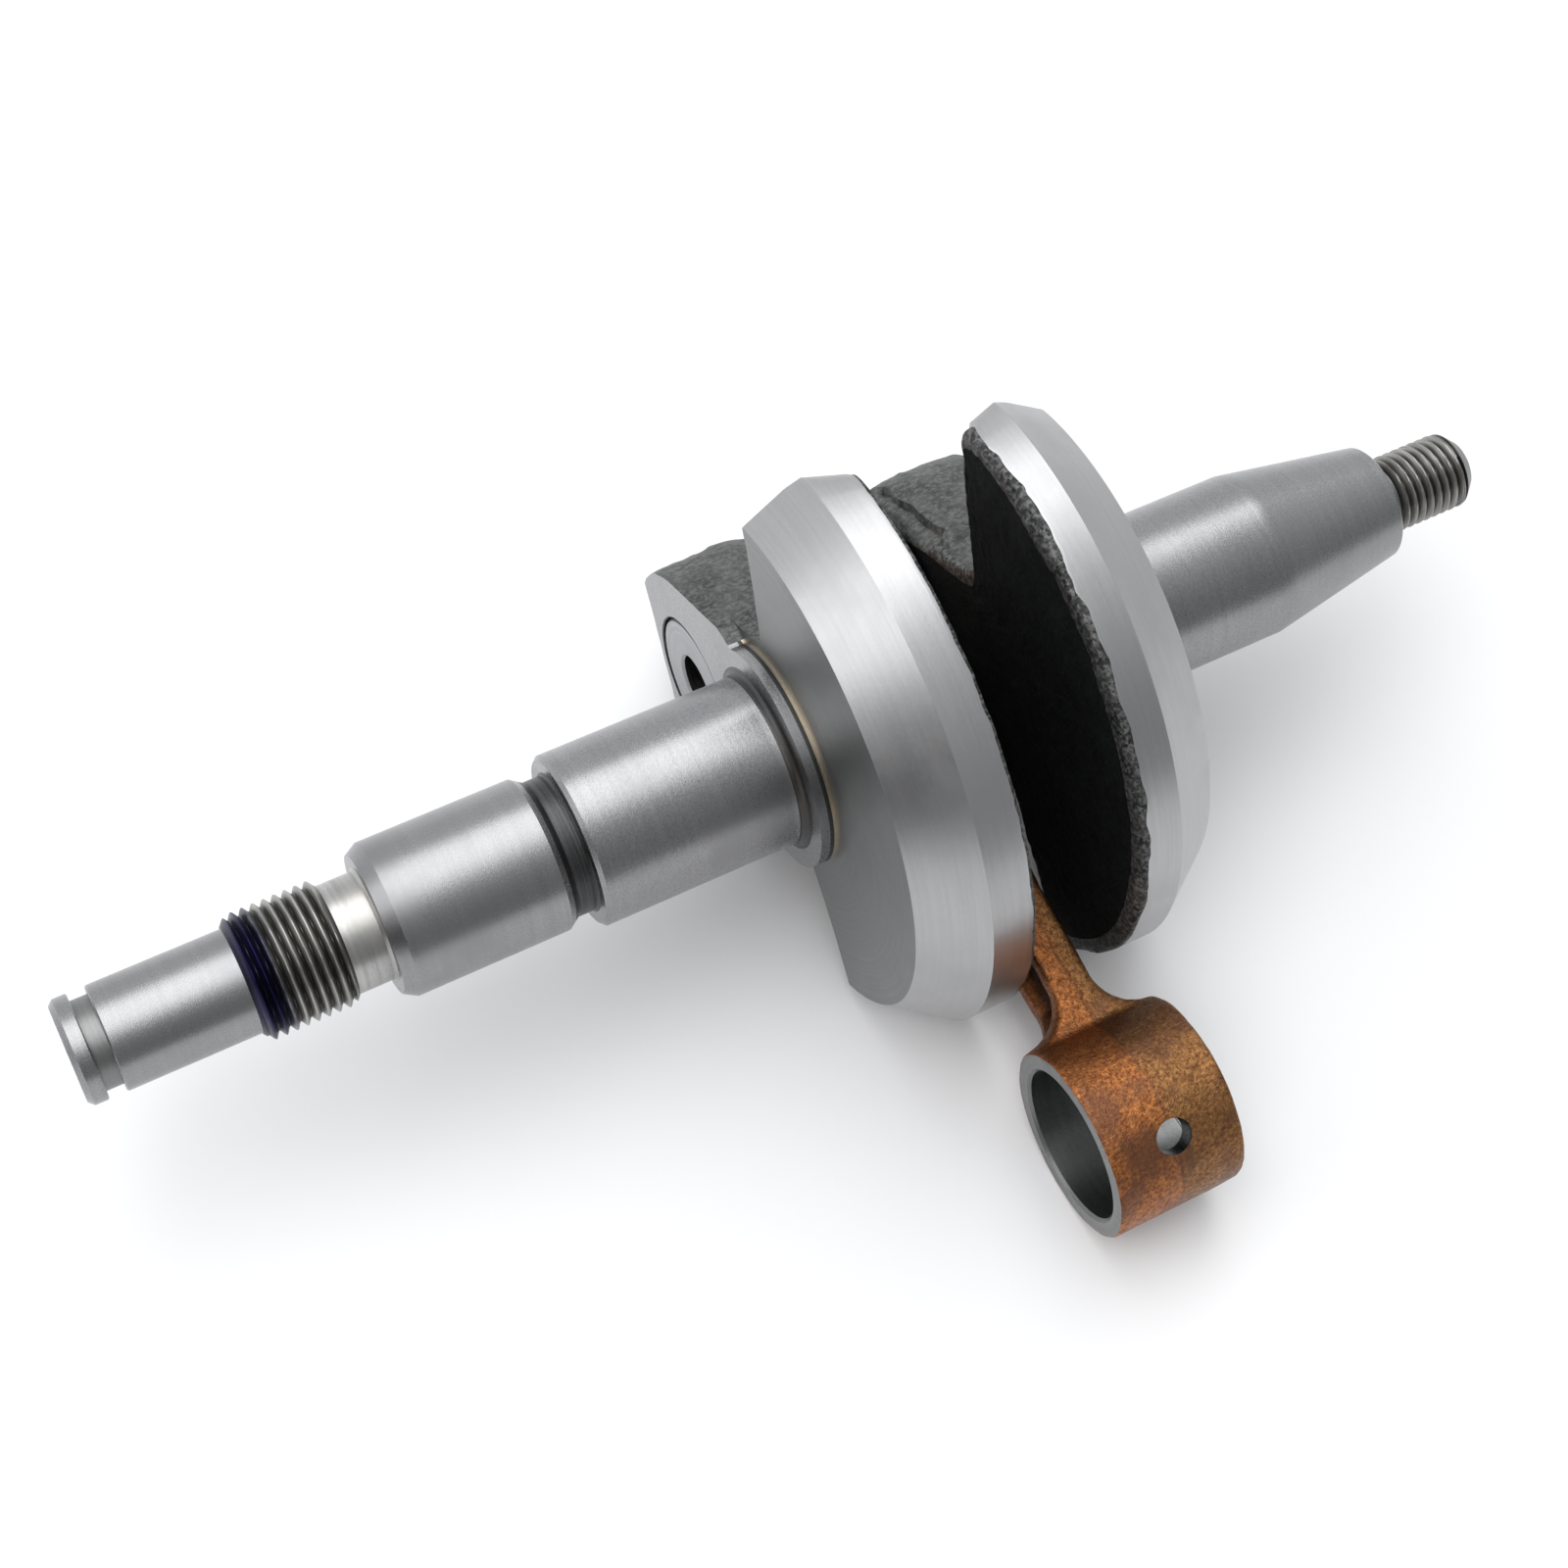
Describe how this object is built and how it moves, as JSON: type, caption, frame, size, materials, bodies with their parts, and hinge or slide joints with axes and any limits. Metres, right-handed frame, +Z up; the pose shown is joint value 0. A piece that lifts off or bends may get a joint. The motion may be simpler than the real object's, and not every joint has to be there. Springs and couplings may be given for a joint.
{
  "type": "crankshaft",
  "caption": "Built-up crankshaft of a small two-stroke engine, with bevelled counterweights, stepped and threaded ends and a copper-plated connecting rod on a caged needle bearing.",
  "frame": {"origin": "on the crank axis, half way along the drive-side main journal", "axes": "+X along the crank axis from the drive end to the flywheel end, +Z up as the crank lies on a bench with its rod to the -Y side"},
  "size_m": [0.1483, 0.0795, 0.0521],
  "materials": {
    "forged_steel": "ground journals and rims, turned bevels, dark as-forged inner faces and nose",
    "pin_steel": "ground",
    "copper_plate": "mottled copper plate over forged steel, ground eye faces",
    "cage_steel": "satin",
    "roller_steel": "polished"
  },
  "bodies": {
    "crankshaft": {"drive_half": "forged_steel", "flywheel_half": "forged_steel", "crank_pin": "pin_steel"},
    "con_rod": {"con_rod": "copper_plate"},
    "big_end_cage": {"big_end_cage": "cage_steel"},
    "roller_01": {"roller_01": "roller_steel"},
    "roller_02": {"roller_02": "roller_steel"},
    "roller_03": {"roller_03": "roller_steel"},
    "roller_04": {"roller_04": "roller_steel"},
    "roller_05": {"roller_05": "roller_steel"},
    "roller_06": {"roller_06": "roller_steel"},
    "roller_07": {"roller_07": "roller_steel"},
    "roller_08": {"roller_08": "roller_steel"},
    "roller_09": {"roller_09": "roller_steel"},
    "roller_10": {"roller_10": "roller_steel"},
    "roller_11": {"roller_11": "roller_steel"},
    "roller_12": {"roller_12": "roller_steel"}
  },
  "joints": [
    {"name": "con_rod_swing", "type": "hinge", "parent": "crankshaft", "child": "con_rod", "pos_m": [0.02755, 0.01426, -0.00925], "axis": [1, 0, 0], "continuous": true},
    {"name": "cage_turn", "type": "hinge", "parent": "crankshaft", "child": "big_end_cage", "pos_m": [0.02755, 0.01426, -0.00925], "axis": [1, 0, 0], "continuous": true},
    {"name": "roller_01_spin", "type": "hinge", "parent": "big_end_cage", "child": "roller_01", "pos_m": [0.02755, 0.0069, -0.01406], "axis": [1, 0, 0], "continuous": true},
    {"name": "roller_02_spin", "type": "hinge", "parent": "big_end_cage", "child": "roller_02", "pos_m": [0.02755, 0.01029, -0.0171], "axis": [1, 0, 0], "continuous": true},
    {"name": "roller_03_spin", "type": "hinge", "parent": "big_end_cage", "child": "roller_03", "pos_m": [0.02755, 0.01475, -0.01803], "axis": [1, 0, 0], "continuous": true},
    {"name": "roller_04_spin", "type": "hinge", "parent": "big_end_cage", "child": "roller_04", "pos_m": [0.02755, 0.01907, -0.01661], "axis": [1, 0, 0], "continuous": true},
    {"name": "roller_05_spin", "type": "hinge", "parent": "big_end_cage", "child": "roller_05", "pos_m": [0.02755, 0.0221, -0.01322], "axis": [1, 0, 0], "continuous": true},
    {"name": "roller_06_spin", "type": "hinge", "parent": "big_end_cage", "child": "roller_06", "pos_m": [0.02755, 0.02304, -0.00877], "axis": [1, 0, 0], "continuous": true},
    {"name": "roller_07_spin", "type": "hinge", "parent": "big_end_cage", "child": "roller_07", "pos_m": [0.02755, 0.02162, -0.00445], "axis": [1, 0, 0], "continuous": true},
    {"name": "roller_08_spin", "type": "hinge", "parent": "big_end_cage", "child": "roller_08", "pos_m": [0.02755, 0.01823, -0.00141], "axis": [1, 0, 0], "continuous": true},
    {"name": "roller_09_spin", "type": "hinge", "parent": "big_end_cage", "child": "roller_09", "pos_m": [0.02755, 0.01377, -0.00048], "axis": [1, 0, 0], "continuous": true},
    {"name": "roller_10_spin", "type": "hinge", "parent": "big_end_cage", "child": "roller_10", "pos_m": [0.02755, 0.00945, -0.0019], "axis": [1, 0, 0], "continuous": true},
    {"name": "roller_11_spin", "type": "hinge", "parent": "big_end_cage", "child": "roller_11", "pos_m": [0.02755, 0.00642, -0.00529], "axis": [1, 0, 0], "continuous": true},
    {"name": "roller_12_spin", "type": "hinge", "parent": "big_end_cage", "child": "roller_12", "pos_m": [0.02755, 0.00548, -0.00974], "axis": [1, 0, 0], "continuous": true}
  ],
  "couplings": [
    {"joint": "cage_turn", "follows": "con_rod_swing", "ratio": 0.57338},
    {"joint": "roller_01_spin", "follows": "con_rod_swing", "ratio": 3.4586},
    {"joint": "roller_02_spin", "follows": "con_rod_swing", "ratio": 3.4586},
    {"joint": "roller_03_spin", "follows": "con_rod_swing", "ratio": 3.4586},
    {"joint": "roller_04_spin", "follows": "con_rod_swing", "ratio": 3.4586},
    {"joint": "roller_05_spin", "follows": "con_rod_swing", "ratio": 3.4586},
    {"joint": "roller_06_spin", "follows": "con_rod_swing", "ratio": 3.4586},
    {"joint": "roller_07_spin", "follows": "con_rod_swing", "ratio": 3.4586},
    {"joint": "roller_08_spin", "follows": "con_rod_swing", "ratio": 3.4586},
    {"joint": "roller_09_spin", "follows": "con_rod_swing", "ratio": 3.4586},
    {"joint": "roller_10_spin", "follows": "con_rod_swing", "ratio": 3.4586},
    {"joint": "roller_11_spin", "follows": "con_rod_swing", "ratio": 3.4586},
    {"joint": "roller_12_spin", "follows": "con_rod_swing", "ratio": 3.4586}
  ]
}
